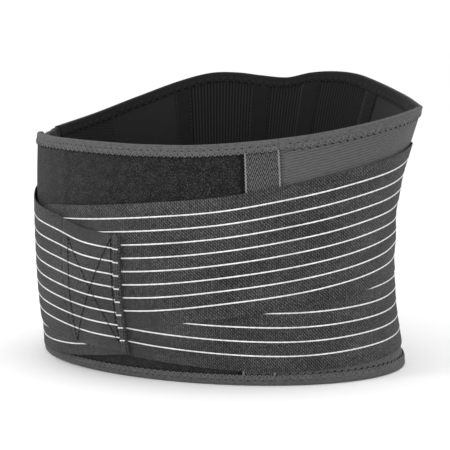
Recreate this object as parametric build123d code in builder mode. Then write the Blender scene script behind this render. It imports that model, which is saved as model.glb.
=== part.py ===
from build123d import *
import os
from math import ceil, cos, degrees, floor, radians, sin, sqrt

# Lumbar support belt, fastened, standing on its bottom rim. Millimetres, +Z up.
# The wearer faces -Y. Left and right are as seen from the front: right is +X.
# The origin is on the floor, under the middle.
# Places round the waist are angles in degrees about the Z axis: 0 is +X, 90 is the spine, 180 is -X
# and -90 (or 270) is the belly. Every layer is an offset from the outer face of the main panels.

# ---- waist shape: half width, half depth and centre of the ring at three heights ----
WAIST_HEIGHTS = (0, 95, 215)
HALF_WIDTHS = (148, 142, 159)
HALF_DEPTHS = (109, 112.5, 109)
DEPTH_CENTRES = (6.5, -7.5, 16.5)

# ---- edges, each as (angle, height) points joined by a smooth curve ----
BELT_TOP = [
    (-90, 170), (-70, 170.5), (-52, 173), (-32, 178), (-14, 185), (3, 191.5), (18, 195), (34, 202),
    (49, 210.5), (60, 216.5), (70, 218.3), (80, 217), (90, 212.8), (101, 214.2), (111, 216.5),
    (121, 216), (132, 209.3), (147, 196.2), (164, 182), (180, 174), (195, 172.4), (230, 171.3), (270, 170),
]
RIGHT_UPPER_TOP = [
    (-135, 122), (-110, 125.5), (-85, 130), (-60, 135.5), (-35, 146), (-10, 157.5), (20, 168), (45, 175),
]
RIGHT_UPPER_LOW = [
    (-135, 36), (-110, 39), (-85, 42), (-60, 49.5), (-35, 57.3), (-10, 67), (20, 77), (45, 84),
]
RIGHT_LOWER_TOP = [
    (-135, 113), (-110, 110), (-85, 108), (-60, 107), (-35, 107), (-10, 109), (20, 113), (45, 117),
]
RIGHT_LOWER_LOW = [
    (-135, 25), (-110, 19.5), (-85, 15.2), (-60, 11.8), (-35, 10), (-10, 12.8), (20, 18), (45, 22),
]
LEFT_UPPER_TOP = [
    (135, 153), (150, 147.5), (180, 136.5), (205, 127), (220, 121.5), (237, 116), (250, 109.5), (265, 106.3),
]
LEFT_UPPER_LOW = [
    (135, 62), (150, 56), (180, 43.5), (205, 33), (224, 27), (238, 23.3), (250, 21.2), (265, 20.5),
]
LEFT_LOWER_TOP = [
    (135, 107), (150, 104), (180, 101), (205, 100), (224, 100), (250, 102), (265, 103),
]
LEFT_LOWER_LOW = [
    (135, 15), (150, 12.5), (180, 9.5), (205, 8.4), (220, 9), (235, 10.3), (248, 14), (265, 18.8),
]

# ---- places round the waist ----
BACK_SEAM_RIGHT, BACK_SEAM_LEFT = 48.5, 131.6
FRONT_SEAM_RIGHT = -41.5
FRONT_SEAM_LEFT = 180
RIGHT_FRONT_END = -168
LEFT_FRONT_END = 275
CASING_END = -52
HIP_SEAM_RIGHT, HIP_SEAM_LEFT = 23.4, 156.6
SPINE_STAYS = (78.6, 100.7)
SIDE_STAYS = (52.4, 127.6)
RIGHT_STRAP_SPLIT, LEFT_STRAP_SPLIT, TAB_SPLIT = -8, 150, 235
RIGHT_STRAP_TIP = -135
STRAP_ANCHOR_RIGHT, STRAP_ANCHOR_LEFT = 45, 135
TAB_HEM_START, TAB_END = 261.4, 265.1

# ---- layers, as offsets from the outer face of the main panels (plus is outwards) ----
GAP = 0.1
RIM_GAP = 0.3
SHELL_THICKNESS = 1.4
PANEL_THICKNESS = 2.9
STACK_THICKNESS = 3.7
BINDING_THICKNESS = 0.7
BINDING_LEG = 7.5
WEBBING = 0.9
STRAP_LAYER = WEBBING + GAP
STRAP_CLEARANCE = 0.3
HOOK_THICKNESS = 0.7
STAY_WIDTH = 12
STAY_THICKNESS = 1.0
TAPE_THICKNESS = 0.5
INNER_PANEL_DROP = 5.6
SEAM_GAP = 0.1
FLOOR_TRIM = 0.1
STATION_STEP = 6


def by_height(values, z):
    """Value at height z of the quadratic through the three waist heights."""
    total = 0
    for i, here in enumerate(WAIST_HEIGHTS):
        weight = values[i]
        for j, other in enumerate(WAIST_HEIGHTS):
            if j != i:
                weight *= (z - other) / (here - other)
        total += weight
    return total


def shell_radius(angle, z):
    """Distance from the Z axis to the outer face of the main panels."""
    half_width = by_height(HALF_WIDTHS, z)
    half_depth = by_height(HALF_DEPTHS, z)
    centre = by_height(DEPTH_CENTRES, z)
    along = sin(radians(angle)) / half_depth
    k = (cos(radians(angle)) / half_width) ** 2 + along**2
    lean = along * centre / half_depth
    return (lean + sqrt(lean**2 - k * ((centre / half_depth) ** 2 - 1))) / k


def on_curve(points, angle):
    """Height at an angle on the smooth curve through (angle, height) points."""
    last = len(points) - 1
    i = max(k for k in range(last) if points[k][0] <= angle or k == 0)
    (x0, y0), (x1, y1) = points[i], points[i + 1]
    before = points[max(i - 1, 0)]
    after = points[min(i + 2, last)]
    slope0 = (y1 - before[1]) / (x1 - before[0])
    slope1 = (after[1] - y0) / (after[0] - x0)
    t = (angle - x0) / (x1 - x0)
    span = x1 - x0
    rise = (2 * t**3 - 3 * t**2 + 1) * y0 + (3 * t**2 - 2 * t**3) * y1
    return rise + span * ((t**3 - 2 * t**2 + t) * slope0 + (t**3 - t**2) * slope1)


def edge(points):
    """The curve through the points, as a function of the angle."""
    return lambda angle: on_curve(points, angle)


def belt_top(angle):
    return on_curve(BELT_TOP, (angle + 90) % 360 - 90)


def panel_top(angle):
    return belt_top(angle) - BINDING_THICKNESS - RIM_GAP


def below_binding(angle):
    return belt_top(angle) - BINDING_LEG - 1


def ease(angle, start, end):
    """0 before start, 1 after end, and smooth between them."""
    t = min(max((angle - start) / (end - start), 0), 1)
    return t * t * (3 - 2 * t)


def right_strap_lift(angle):
    """The right straps rise over their own hook pad."""
    return 0.9 * ease(angle, -90, -106)


def left_strap_lift(angle):
    """The left straps rise over the end of the right straps."""
    return 4 * ease(angle, 203, 226)


def inner_drop(angle):
    """The left front panel drops behind the right front panel."""
    return -INNER_PANEL_DROP * ease(angle, 180.5, 190)


def plus(rule, amount):
    """An offset rule moved by a constant."""
    return lambda angle: rule(angle) + amount


def value(rule, angle):
    return rule(angle) if callable(rule) else rule


def stations(start, end, extra=()):
    """Section angles: both ends, every whole step between them that isn't too near, and any extra."""
    margin = STATION_STEP / 3
    steps = range(ceil((start + margin) / STATION_STEP), floor((end - margin) / STATION_STEP) + 1)
    inside = {STATION_STEP * i for i in steps} | set(extra) or {(start + end) / 2}
    return [start, *sorted(inside), end]


def radial_plane(angle):
    """Upright plane through the Z axis: local x is the radius and local y is the height."""
    a = radians(angle)
    return Plane(origin=(0, 0, 0), x_dir=(cos(a), sin(a), 0), z_dir=(sin(a), -cos(a), 0))


def add_strip(start, end, low, high, inner, outer, extra=(), mode=Mode.ADD):
    """Loft a strip of fabric round the waist, between two heights and two offsets."""
    sections = []
    for angle in stations(start, end, extra):
        z_low = value(low, angle)
        z_high = value(high, angle)
        heights = [z_low + (z_high - z_low) * k / 4 for k in range(5)]
        with BuildSketch(radial_plane(angle)) as section:
            with BuildLine():
                back = Spline([(shell_radius(angle, z) + value(inner, angle), z) for z in heights])
                face = Spline([(shell_radius(angle, z) + value(outer, angle), z) for z in heights])
                Line(back @ 0, face @ 0)
                Line(back @ 1, face @ 1)
            make_face()
        sections.append(section.sketch)
    loft(sections, mode=mode)


def add_binding(start, end, rim, inwards, inner, outer, extra=()):
    """Loft a folded tape over a rim; inwards is -1 at the top rim and +1 at the bottom rim."""
    sections = []
    for angle in stations(start, end, extra):
        z_rim = value(rim, angle)
        z_web = z_rim + inwards * BINDING_THICKNESS
        z_lip = z_rim + inwards * BINDING_LEG
        face = value(outer, angle)
        back = value(inner, angle)
        corners = [
            (face, z_lip), (face, z_rim), (back, z_rim), (back, z_lip),
            (back + BINDING_THICKNESS, z_lip), (back + BINDING_THICKNESS, z_web),
            (face - BINDING_THICKNESS, z_web), (face - BINDING_THICKNESS, z_lip),
        ]
        with BuildSketch(radial_plane(angle)) as section:
            with BuildLine():
                Polyline([(shell_radius(angle, z) + offset, z) for offset, z in corners], close=True)
            make_face()
        sections.append(section.sketch)
    loft(sections)


def add_bottom_binding(start, end, inner, outer, extra=()):
    """Loft the bottom rim's binding a little low and trim it, so that it stands on a true plane."""
    add_binding(start, end, -FLOOR_TRIM, 1, inner, outer, extra)
    split(bisect_by=Plane.XY)


def add_stay(angle, low, high, inner):
    """A flat spring stay with rounded ends, bent to the belt behind the point at this angle."""
    half = degrees((STAY_WIDTH / 2 + 1) / shell_radius(angle, 95))
    add_strip(angle - half, angle + half, low, high, inner, lambda a: value(inner, a) + STAY_THICKNESS)
    a = radians(angle)
    outwards = Plane(origin=(0, 0, 0), x_dir=(-sin(a), cos(a), 0), z_dir=(cos(a), sin(a), 0))
    with BuildSketch(outwards) as blank:
        with Locations((0, (low + high) / 2)):
            SlotCenterToCenter(high - low - STAY_WIDTH - 2, STAY_WIDTH, rotation=90)
    extrude(blank.sketch, amount=200, mode=Mode.INTERSECT)


def finish(piece, name):
    piece.part.label = name
    export_step(piece.part, f"parts/{name}.step")


os.makedirs("parts", exist_ok=True)

PANEL_LOW = BINDING_THICKNESS + RIM_GAP
ABOVE_BINDING = BINDING_LEG + 1
SHELL = (-SHELL_THICKNESS, 0)
CORE = (-PANEL_THICKNESS, -SHELL_THICKNESS - GAP)
PANEL = (-PANEL_THICKNESS, 0)
LINING = (-STACK_THICKNESS, -PANEL_THICKNESS - GAP)
FULL_STACK = (-STACK_THICKNESS, 0)
HOOK_PAD = (-STACK_THICKNESS - GAP - HOOK_THICKNESS, -STACK_THICKNESS - GAP)
BINDING = (-STACK_THICKNESS - GAP - BINDING_THICKNESS, GAP + BINDING_THICKNESS)
TAPE = (-STACK_THICKNESS - GAP - TAPE_THICKNESS, -STACK_THICKNESS - GAP)

# ================= back and sides =================

BACK = (BACK_SEAM_RIGHT + SEAM_GAP, BACK_SEAM_LEFT - SEAM_GAP)
with BuildPart() as back_panel:
    add_strip(*BACK, PANEL_LOW, panel_top, *SHELL)
finish(back_panel, "back_panel")

# Spacer foam fills the back between its four stays.
with BuildPart() as back_spacer_core:
    for start, end in [(56.4, 74.6), (82.6, 96.7), (104.7, 123.6)]:
        add_strip(start, end, PANEL_LOW, panel_top, *CORE)
finish(back_spacer_core, "back_spacer_core")

with BuildPart() as back_ribbed_lining:
    add_strip(*BACK, PANEL_LOW, panel_top, *LINING)
finish(back_ribbed_lining, "back_ribbed_lining")

SIDE_PANELS = {
    "side_panel_right": (FRONT_SEAM_RIGHT, BACK_SEAM_RIGHT),
    "side_panel_left": (BACK_SEAM_LEFT, FRONT_SEAM_LEFT),
}
for name, (start, end) in SIDE_PANELS.items():
    with BuildPart() as side_panel:
        add_strip(start + SEAM_GAP, end - SEAM_GAP, PANEL_LOW, panel_top, *PANEL)
    finish(side_panel, name)

LINING_PANELS = {
    "side_lining_right": (FRONT_SEAM_RIGHT, HIP_SEAM_RIGHT),
    "hip_lining_right": (HIP_SEAM_RIGHT, BACK_SEAM_RIGHT),
    "hip_lining_left": (BACK_SEAM_LEFT, HIP_SEAM_LEFT),
    "side_lining_left": (HIP_SEAM_LEFT, FRONT_SEAM_LEFT),
}
for name, (start, end) in LINING_PANELS.items():
    with BuildPart() as lining:
        add_strip(start + SEAM_GAP, end - SEAM_GAP, PANEL_LOW, panel_top, *LINING)
    finish(lining, name)

# Four flat spring stays stand in the gaps of the spacer foam.
STAY_INNER = -PANEL_THICKNESS + 0.2
BACK_STAYS = {
    "stay_side_right": (SIDE_STAYS[0], 198),
    "stay_spine_right": (SPINE_STAYS[0], 205),
    "stay_spine_left": (SPINE_STAYS[1], 202),
    "stay_side_left": (SIDE_STAYS[1], 198),
}
for name, (angle, high) in BACK_STAYS.items():
    with BuildPart() as stay:
        add_stay(angle, ABOVE_BINDING, high, STAY_INNER)
    finish(stay, name)

# Cover tapes on the lining, over the seams and over the spine stays.
TAPES = {
    "seam_tape_right": (BACK_SEAM_RIGHT, 3.1),
    "spine_tape_right": (SPINE_STAYS[0], 4),
    "spine_tape_left": (SPINE_STAYS[1], 4),
    "seam_tape_left": (BACK_SEAM_LEFT, 3.1),
}
for name, (angle, half) in TAPES.items():
    with BuildPart() as tape:
        add_strip(angle - half, angle + half, ABOVE_BINDING, below_binding, *TAPE)
    finish(tape, name)

# Anchor tapes hold the straps down on the outside, in front of the two back seams.
ANCHOR_TAPE_WIDTH = 7
ANCHOR_TAPE = (GAP, STRAP_CLEARANCE + 2 * STRAP_LAYER + 0.3)
ANCHOR_TAPES = {
    "anchor_tape_right": (STRAP_ANCHOR_RIGHT + SEAM_GAP, STRAP_ANCHOR_RIGHT + ANCHOR_TAPE_WIDTH),
    "anchor_tape_left": (STRAP_ANCHOR_LEFT - ANCHOR_TAPE_WIDTH, STRAP_ANCHOR_LEFT - SEAM_GAP),
}
for name, (start, end) in ANCHOR_TAPES.items():
    with BuildPart() as tape:
        add_strip(start, end, ABOVE_BINDING, below_binding, *ANCHOR_TAPE)
    finish(tape, name)

BACK_AND_SIDES = (FRONT_SEAM_RIGHT + SEAM_GAP, FRONT_SEAM_LEFT - SEAM_GAP)
with BuildPart() as top_binding_back:
    add_binding(*BACK_AND_SIDES, belt_top, -1, *BINDING)
finish(top_binding_back, "top_binding_back")

with BuildPart() as bottom_binding_back:
    add_bottom_binding(*BACK_AND_SIDES, *BINDING)
finish(bottom_binding_back, "bottom_binding_back")

# ================= right front panel: loop pile face, outermost at the belly =================

PILE_AREA = (RIGHT_FRONT_END, CASING_END - SEAM_GAP)
CASING = (CASING_END, FRONT_SEAM_RIGHT - SEAM_GAP)
RIGHT_FRONT_RIM = (RIGHT_FRONT_END - 1.8, FRONT_SEAM_RIGHT - SEAM_GAP)

with BuildPart() as right_front_panel:
    add_strip(*PILE_AREA, PANEL_LOW, panel_top, *PANEL)
finish(right_front_panel, "right_front_panel")

with BuildPart() as right_front_lining:
    add_strip(*PILE_AREA, PANEL_LOW, panel_top, *LINING)
finish(right_front_lining, "right_front_lining")

# The casing is a woven sleeve with a pocket for the front stay.
CASING_MIDDLE = (CASING_END + FRONT_SEAM_RIGHT) / 2
POCKET_ANGLES = (CASING_MIDDLE - 3.2, CASING_MIDDLE + 3.2)
POCKET = (-2.6, -1.2)
with BuildPart() as front_casing:
    add_strip(*CASING, PANEL_LOW, panel_top, *FULL_STACK)
    add_strip(*POCKET_ANGLES, ABOVE_BINDING, below_binding, *POCKET, mode=Mode.SUBTRACT)
finish(front_casing, "front_casing")

with BuildPart() as right_front_stay:
    add_stay(CASING_MIDDLE, ABOVE_BINDING + 1, 158, POCKET[0] + 0.2)
finish(right_front_stay, "right_front_stay")

with BuildPart() as right_front_end_binding:
    add_strip(RIGHT_FRONT_RIM[0], RIGHT_FRONT_END - SEAM_GAP, PANEL_LOW, panel_top, *FULL_STACK)
finish(right_front_end_binding, "right_front_end_binding")

with BuildPart() as closure_hook_pad:
    add_strip(RIGHT_FRONT_END + 2, RIGHT_FRONT_END + 30, 16, 154, *HOOK_PAD)
finish(closure_hook_pad, "closure_hook_pad")

with BuildPart() as right_front_top_binding:
    add_binding(*RIGHT_FRONT_RIM, belt_top, -1, *BINDING)
finish(right_front_top_binding, "right_front_top_binding")

with BuildPart() as right_front_bottom_binding:
    add_bottom_binding(*RIGHT_FRONT_RIM, *BINDING)
finish(right_front_bottom_binding, "right_front_bottom_binding")

# ================= left front panel: inner layer at the belly =================

INNER_END = (LEFT_FRONT_END + SEAM_GAP, LEFT_FRONT_END + 1.5)
INNER_PANEL = (plus(inner_drop, -2.6), inner_drop)
INNER_STACK = (plus(inner_drop, -3.3), inner_drop)
INNER_LINING = (plus(inner_drop, -3.3), plus(inner_drop, -2.7))
INNER_BINDING = (plus(inner_drop, -4.1), plus(inner_drop, 0.8))
INNER_CASING = (plus(inner_drop, -5.2), plus(inner_drop, -3.4))
INNER_POCKET = (plus(inner_drop, -4.9), plus(inner_drop, -3.7))
INNER_STAY_ANGLE = 267
INNER_CASING_ANGLES = (INNER_STAY_ANGLE - 4.5, INNER_STAY_ANGLE + 4.5)
INNER_POCKET_ANGLES = (INNER_STAY_ANGLE - 4, INNER_STAY_ANGLE + 4)
LEFT_FRONT = (FRONT_SEAM_LEFT + SEAM_GAP, LEFT_FRONT_END)
LEFT_FRONT_RIM = (FRONT_SEAM_LEFT + SEAM_GAP, LEFT_FRONT_END + 1.5)
# Close sections follow the step from the side panel down behind the right front panel.
DROP_SECTIONS = (182, 184, 186, 188, 190, 192)


def inner_top(angle):
    return panel_top(angle) - 1


with BuildPart() as left_front_panel:
    add_strip(*LEFT_FRONT, PANEL_LOW, inner_top, *INNER_PANEL, extra=DROP_SECTIONS)
finish(left_front_panel, "left_front_panel")

with BuildPart() as left_front_lining:
    add_strip(*LEFT_FRONT, PANEL_LOW, inner_top, *INNER_LINING, extra=DROP_SECTIONS)
finish(left_front_lining, "left_front_lining")

with BuildPart() as left_front_end_binding:
    add_strip(*INNER_END, PANEL_LOW, inner_top, *INNER_STACK)
finish(left_front_end_binding, "left_front_end_binding")

with BuildPart() as left_front_casing:
    add_strip(*INNER_CASING_ANGLES, ABOVE_BINDING, 158, *INNER_CASING)
    add_strip(*INNER_POCKET_ANGLES, ABOVE_BINDING + 2, 156, *INNER_POCKET, mode=Mode.SUBTRACT)
finish(left_front_casing, "left_front_casing")

with BuildPart() as left_front_stay:
    add_stay(INNER_STAY_ANGLE, ABOVE_BINDING + 3, 155, plus(inner_drop, -4.8))
finish(left_front_stay, "left_front_stay")

with BuildPart() as left_front_top_binding:
    add_binding(*LEFT_FRONT_RIM, plus(belt_top, -1), -1, *INNER_BINDING, extra=DROP_SECTIONS)
finish(left_front_top_binding, "left_front_top_binding")

with BuildPart() as left_front_bottom_binding:
    add_bottom_binding(*LEFT_FRONT_RIM, *INNER_BINDING, extra=DROP_SECTIONS)
finish(left_front_bottom_binding, "left_front_bottom_binding")

# ================= right straps =================

RIGHT_LOWER = (plus(right_strap_lift, STRAP_CLEARANCE), plus(right_strap_lift, STRAP_CLEARANCE + WEBBING))
RIGHT_UPPER = (plus(RIGHT_LOWER[0], STRAP_LAYER), plus(RIGHT_LOWER[1], STRAP_LAYER))
RIGHT_STRAP_ROOT = (RIGHT_STRAP_SPLIT + SEAM_GAP, STRAP_ANCHOR_RIGHT)
RIGHT_STRAP_FREE = (RIGHT_STRAP_TIP + 1.8, RIGHT_STRAP_SPLIT - SEAM_GAP)
RIGHT_STRAPS = {
    "right_lower_strap": (edge(RIGHT_LOWER_LOW), edge(RIGHT_LOWER_TOP), *RIGHT_LOWER),
    "right_upper_strap": (edge(RIGHT_UPPER_LOW), edge(RIGHT_UPPER_TOP), *RIGHT_UPPER),
}
for name, strap_shape in RIGHT_STRAPS.items():
    with BuildPart() as strap_root:
        add_strip(*RIGHT_STRAP_ROOT, *strap_shape)
    finish(strap_root, f"{name}_root")
    with BuildPart() as strap:
        add_strip(*RIGHT_STRAP_FREE, *strap_shape)
    finish(strap, name)

with BuildPart() as right_strap_hook_pad:
    add_strip(-132, -111, 42, 108, STRAP_CLEARANCE, STRAP_CLEARANCE + HOOK_THICKNESS)
finish(right_strap_hook_pad, "right_strap_hook_pad")

with BuildPart() as right_strap_end_hem:
    add_strip(RIGHT_STRAP_TIP, RIGHT_STRAP_TIP + 1.7, 26, 121, 0.8, 3.4)
finish(right_strap_end_hem, "right_strap_end_hem")

# ================= left straps and pull tab =================

LEFT_LOWER = (plus(left_strap_lift, STRAP_CLEARANCE), plus(left_strap_lift, STRAP_CLEARANCE + WEBBING))
LEFT_UPPER = (plus(LEFT_LOWER[0], STRAP_LAYER), plus(LEFT_LOWER[1], STRAP_LAYER))
LEFT_STRAP_PARTS = {
    "root": (STRAP_ANCHOR_LEFT, LEFT_STRAP_SPLIT - SEAM_GAP),
    "strap": (LEFT_STRAP_SPLIT + SEAM_GAP, TAB_SPLIT - SEAM_GAP),
    "tab": (TAB_SPLIT + SEAM_GAP, TAB_HEM_START - SEAM_GAP),
}
LEFT_STRAPS = {
    "lower": (edge(LEFT_LOWER_LOW), edge(LEFT_LOWER_TOP), *LEFT_LOWER),
    "upper": (edge(LEFT_UPPER_LOW), edge(LEFT_UPPER_TOP), *LEFT_UPPER),
}
for level, strap_shape in LEFT_STRAPS.items():
    with BuildPart() as strap_root:
        add_strip(*LEFT_STRAP_PARTS["root"], *strap_shape)
    finish(strap_root, f"left_{level}_strap_root")
    with BuildPart() as strap:
        add_strip(*LEFT_STRAP_PARTS["strap"], *strap_shape)
    finish(strap, f"left_{level}_strap")
    with BuildPart() as tab:
        add_strip(*LEFT_STRAP_PARTS["tab"], *strap_shape)
    finish(tab, f"left_tab_{level}")

with BuildPart() as left_tab_hook_pad:
    add_strip(237, 260, 26, 100, 3.4, 3.4 + HOOK_THICKNESS)
finish(left_tab_hook_pad, "left_tab_hook_pad")

# The strap end is folded back on itself and stitched down as a hem.
with BuildPart() as left_tab_hem:
    add_strip(TAB_HEM_START, TAB_END, edge(LEFT_LOWER_LOW), edge(LEFT_UPPER_TOP), 3.4, 6.8)
finish(left_tab_hem, "left_tab_hem")
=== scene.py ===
import math

import bpy
import numpy as np
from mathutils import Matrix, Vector


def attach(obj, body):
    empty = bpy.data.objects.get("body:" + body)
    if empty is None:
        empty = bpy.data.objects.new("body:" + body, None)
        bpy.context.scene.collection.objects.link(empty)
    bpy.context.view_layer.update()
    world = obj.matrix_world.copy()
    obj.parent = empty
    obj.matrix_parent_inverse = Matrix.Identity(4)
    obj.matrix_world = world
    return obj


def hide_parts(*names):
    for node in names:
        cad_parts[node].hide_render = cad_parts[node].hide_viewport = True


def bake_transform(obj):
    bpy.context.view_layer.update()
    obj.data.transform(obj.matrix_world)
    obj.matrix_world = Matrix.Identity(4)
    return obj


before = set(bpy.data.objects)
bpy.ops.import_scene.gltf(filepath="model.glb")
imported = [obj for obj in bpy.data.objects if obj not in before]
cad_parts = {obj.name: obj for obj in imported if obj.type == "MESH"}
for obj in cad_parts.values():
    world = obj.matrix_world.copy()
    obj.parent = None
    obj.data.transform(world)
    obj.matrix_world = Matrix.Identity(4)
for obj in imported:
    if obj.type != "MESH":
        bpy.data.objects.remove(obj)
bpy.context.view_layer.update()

MM = 0.001

# ---------------------------------------------------------------- waist shape, as in the CAD model
# Lengths are in mm and angles in degrees, up to place(), which gives points in metres.
WAIST_HEIGHTS = (0, 95, 215)
HALF_WIDTHS = (148, 142, 159)
HALF_DEPTHS = (109, 112.5, 109)
DEPTH_CENTRES = (6.5, -7.5, 16.5)

BELT_TOP = [
    (-90, 170), (-70, 170.5), (-52, 173), (-32, 178), (-14, 185), (3, 191.5), (18, 195), (34, 202),
    (49, 210.5), (60, 216.5), (70, 218.3), (80, 217), (90, 212.8), (101, 214.2), (111, 216.5),
    (121, 216), (132, 209.3), (147, 196.2), (164, 182), (180, 174), (195, 172.4), (230, 171.3), (270, 170),
]
RIGHT_UPPER_TOP = [
    (-135, 122), (-110, 125.5), (-85, 130), (-60, 135.5), (-35, 146), (-10, 157.5), (20, 168), (45, 175),
]
RIGHT_UPPER_LOW = [
    (-135, 36), (-110, 39), (-85, 42), (-60, 49.5), (-35, 57.3), (-10, 67), (20, 77), (45, 84),
]
RIGHT_LOWER_TOP = [
    (-135, 113), (-110, 110), (-85, 108), (-60, 107), (-35, 107), (-10, 109), (20, 113), (45, 117),
]
RIGHT_LOWER_LOW = [
    (-135, 25), (-110, 19.5), (-85, 15.2), (-60, 11.8), (-35, 10), (-10, 12.8), (20, 18), (45, 22),
]
LEFT_UPPER_TOP = [
    (135, 153), (150, 147.5), (180, 136.5), (205, 127), (220, 121.5), (237, 116), (250, 109.5),
    (265, 106.3),
]
LEFT_UPPER_LOW = [
    (135, 62), (150, 56), (180, 43.5), (205, 33), (224, 27), (238, 23.3), (250, 21.2), (265, 20.5),
]
LEFT_LOWER_TOP = [
    (135, 107), (150, 104), (180, 101), (205, 100), (224, 100), (250, 102), (265, 103),
]
LEFT_LOWER_LOW = [
    (135, 15), (150, 12.5), (180, 9.5), (205, 8.4), (220, 9), (235, 10.3), (248, 14), (265, 18.8),
]

# ---------------------------------------------------------------- seams, joints and layers
BACK_SEAM_RIGHT, BACK_SEAM_LEFT = 48.5, 131.6
FRONT_SEAM_RIGHT, FRONT_SEAM_LEFT = -41.5, 180
CASING_END = -52
RIGHT_FRONT_END, LEFT_FRONT_END = -168, 275
HIP_SEAM_RIGHT, HIP_SEAM_LEFT = 23.4, 156.6
SPINE = 90
SPINE_STAY_RIGHT, SPINE_STAY_LEFT = 78.6, 100.7
TAB_STITCH = 239.6
TAB_HEM, TAB_END = 263.1, 265.1
STRAP_RIGHT_ROOT, STRAP_LEFT_ROOT = 45, 135
RIGHT_STRAP_TIP, RIGHT_STRAP_HEM = -135, -133.2

# offsets of each layer's two faces from the main panels' outer face
PANEL, LINING, CASING, BINDING = (-2.9, 0.0), (-3.7, -3.0), (-3.7, 0.0), (-4.5, 0.8)
COVER_TAPE, HOOK_PAD, ANCHOR_TAPE = (-4.3, -3.8), (-4.5, -3.8), (0.1, 2.6)
INNER_PANEL_DROP, RIGHT_LIFT, LEFT_LIFT = 5.6, 0.9, 4.0
WEBBING, STRAP_LAYER, STRAP_CLEARANCE = 0.9, 1.0, 0.3
HEM_BACK, HEM_FACE = 3.4, 6.8

BINDING_LEG, BINDING_CORNER, BINDING_TAPE = 7.5, 1.5, 0.6
STITCH_PITCH = 5.7
TAPE_FOOT = 8.5
STRIPES = 8
STRIPE_SPREAD, LEFT_LOWER_SPREAD = (0.125, 0.885), (0.1, 0.8)
CREASE, CREASE_DEPTH, CREASE_REACH = 17, 4.4, 6.5
SLACK_ANGLE, SLACK_HEIGHT = 18, 95


def by_height(values, z):
    """Value at height z of the quadratic through the three waist heights."""
    total = 0
    for i, here in enumerate(WAIST_HEIGHTS):
        weight = values[i]
        for j, other in enumerate(WAIST_HEIGHTS):
            if j != i:
                weight = weight * (z - other) / (here - other)
        total = total + weight
    return total


def shell_radius(angle, z):
    """Distance from the Z axis to the outer face of the main panels."""
    a = np.radians(angle)
    half_width = by_height(HALF_WIDTHS, z)
    half_depth = by_height(HALF_DEPTHS, z)
    centre = by_height(DEPTH_CENTRES, z)
    along = np.sin(a) / half_depth
    k = (np.cos(a) / half_width) ** 2 + along**2
    lean = along * centre / half_depth
    return (lean + np.sqrt(lean**2 - k * ((centre / half_depth) ** 2 - 1))) / k


def ease(x, start, end):
    """0 before start, 1 after end, and smooth between them."""
    t = np.clip((x - start) / (end - start), 0, 1)
    return t * t * (3 - 2 * t)


def drape(angle, z):
    """Soft unevenness that every layer shares, in mm."""
    a = np.radians(angle)
    wave = 0.35 * np.sin(3 * a + z / 38) + 0.25 * np.sin(7 * a - z / 23 + 1)
    wave = wave + 0.15 * np.sin(13 * a + z / 15)
    crease = CREASE_DEPTH * np.exp(-np.abs(angle - CREASE) / CREASE_REACH) * ease(z, 105, 190)
    slack = np.exp(-(((angle - SLACK_ANGLE) / 17) ** 2) - ((z - SLACK_HEIGHT) / 42) ** 2)
    folds = 0.7 * slack * np.sin((z + 1.3 * angle) / 5.5)
    return wave * np.clip(z / 20, 0, 1) + crease + folds


def place(angle, z, offset):
    """Points in metres at angles, heights and offsets from the main panels' outer face."""
    angle, z, offset = np.broadcast_arrays(np.asarray(angle, float), z, offset)
    r = shell_radius(angle, z) + offset + drape(angle, z)
    a = np.radians(angle)
    return np.stack([r * np.cos(a), r * np.sin(a), z], -1) * MM


def curve(points):
    """Smooth height curve through (angle, height) points, as a function of the angle."""
    xs, ys = np.array(points, float).T
    slopes = np.empty(len(xs))
    slopes[1:-1] = (ys[2:] - ys[:-2]) / (xs[2:] - xs[:-2])
    slopes[0] = (ys[1] - ys[0]) / (xs[1] - xs[0])
    slopes[-1] = (ys[-1] - ys[-2]) / (xs[-1] - xs[-2])

    def height(angle):
        angle = np.asarray(angle, float)
        i = np.clip(np.searchsorted(xs, angle, side="right") - 1, 0, len(xs) - 2)
        span = xs[i + 1] - xs[i]
        t = (angle - xs[i]) / span
        rise = (2 * t**3 - 3 * t**2 + 1) * ys[i] + (3 * t**2 - 2 * t**3) * ys[i + 1]
        return rise + span * ((t**3 - 2 * t**2 + t) * slopes[i] + (t**3 - t**2) * slopes[i + 1])

    return height


TOP_CURVE = curve(BELT_TOP + [(290, 170.5)])
# each band's lower and upper edge
RIGHT_UPPER = curve(RIGHT_UPPER_LOW), curve(RIGHT_UPPER_TOP)
RIGHT_LOWER = curve(RIGHT_LOWER_LOW), curve(RIGHT_LOWER_TOP)
LEFT_UPPER = curve(LEFT_UPPER_LOW), curve(LEFT_UPPER_TOP)
LEFT_LOWER = curve(LEFT_LOWER_LOW), curve(LEFT_LOWER_TOP)


def belt_top(angle):
    return TOP_CURVE((np.asarray(angle, float) + 90) % 360 - 90)


def right_lift(angle):
    """How far the right straps rise over their hook pad."""
    return RIGHT_LIFT * ease(angle, -90, -106)


def left_lift(angle):
    """How far the left straps rise over the right ones' hem."""
    return LEFT_LIFT * ease(angle, 203, 226)


def inner_drop(angle):
    """How far the left front panel sinks inside the right one."""
    return -INNER_PANEL_DROP * ease(angle, 180.5, 190)


def value(rule, angle):
    """A rule of the angle, or a plain number, at those angles."""
    return rule(angle) if callable(rule) else np.full(np.shape(angle), float(rule))


def plus(rule, amount):
    return lambda angle: value(rule, angle) + amount


ARC_ANGLES = np.arange(-200, 300, 0.25)
ARC_POINTS = place(ARC_ANGLES, float(WAIST_HEIGHTS[1]), 0.0)
ARC_MM = np.concatenate([[0], np.cumsum(np.linalg.norm(np.diff(ARC_POINTS, axis=0), axis=1))]) / MM
ARC_MM -= np.interp(-90, ARC_ANGLES, ARC_MM)


def arc(angle):
    """Distance round the waist from the belly, in mm."""
    return np.interp(angle, ARC_ANGLES, ARC_MM)


def angle_at(mm):
    return np.interp(mm, ARC_MM, ARC_ANGLES)


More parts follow.
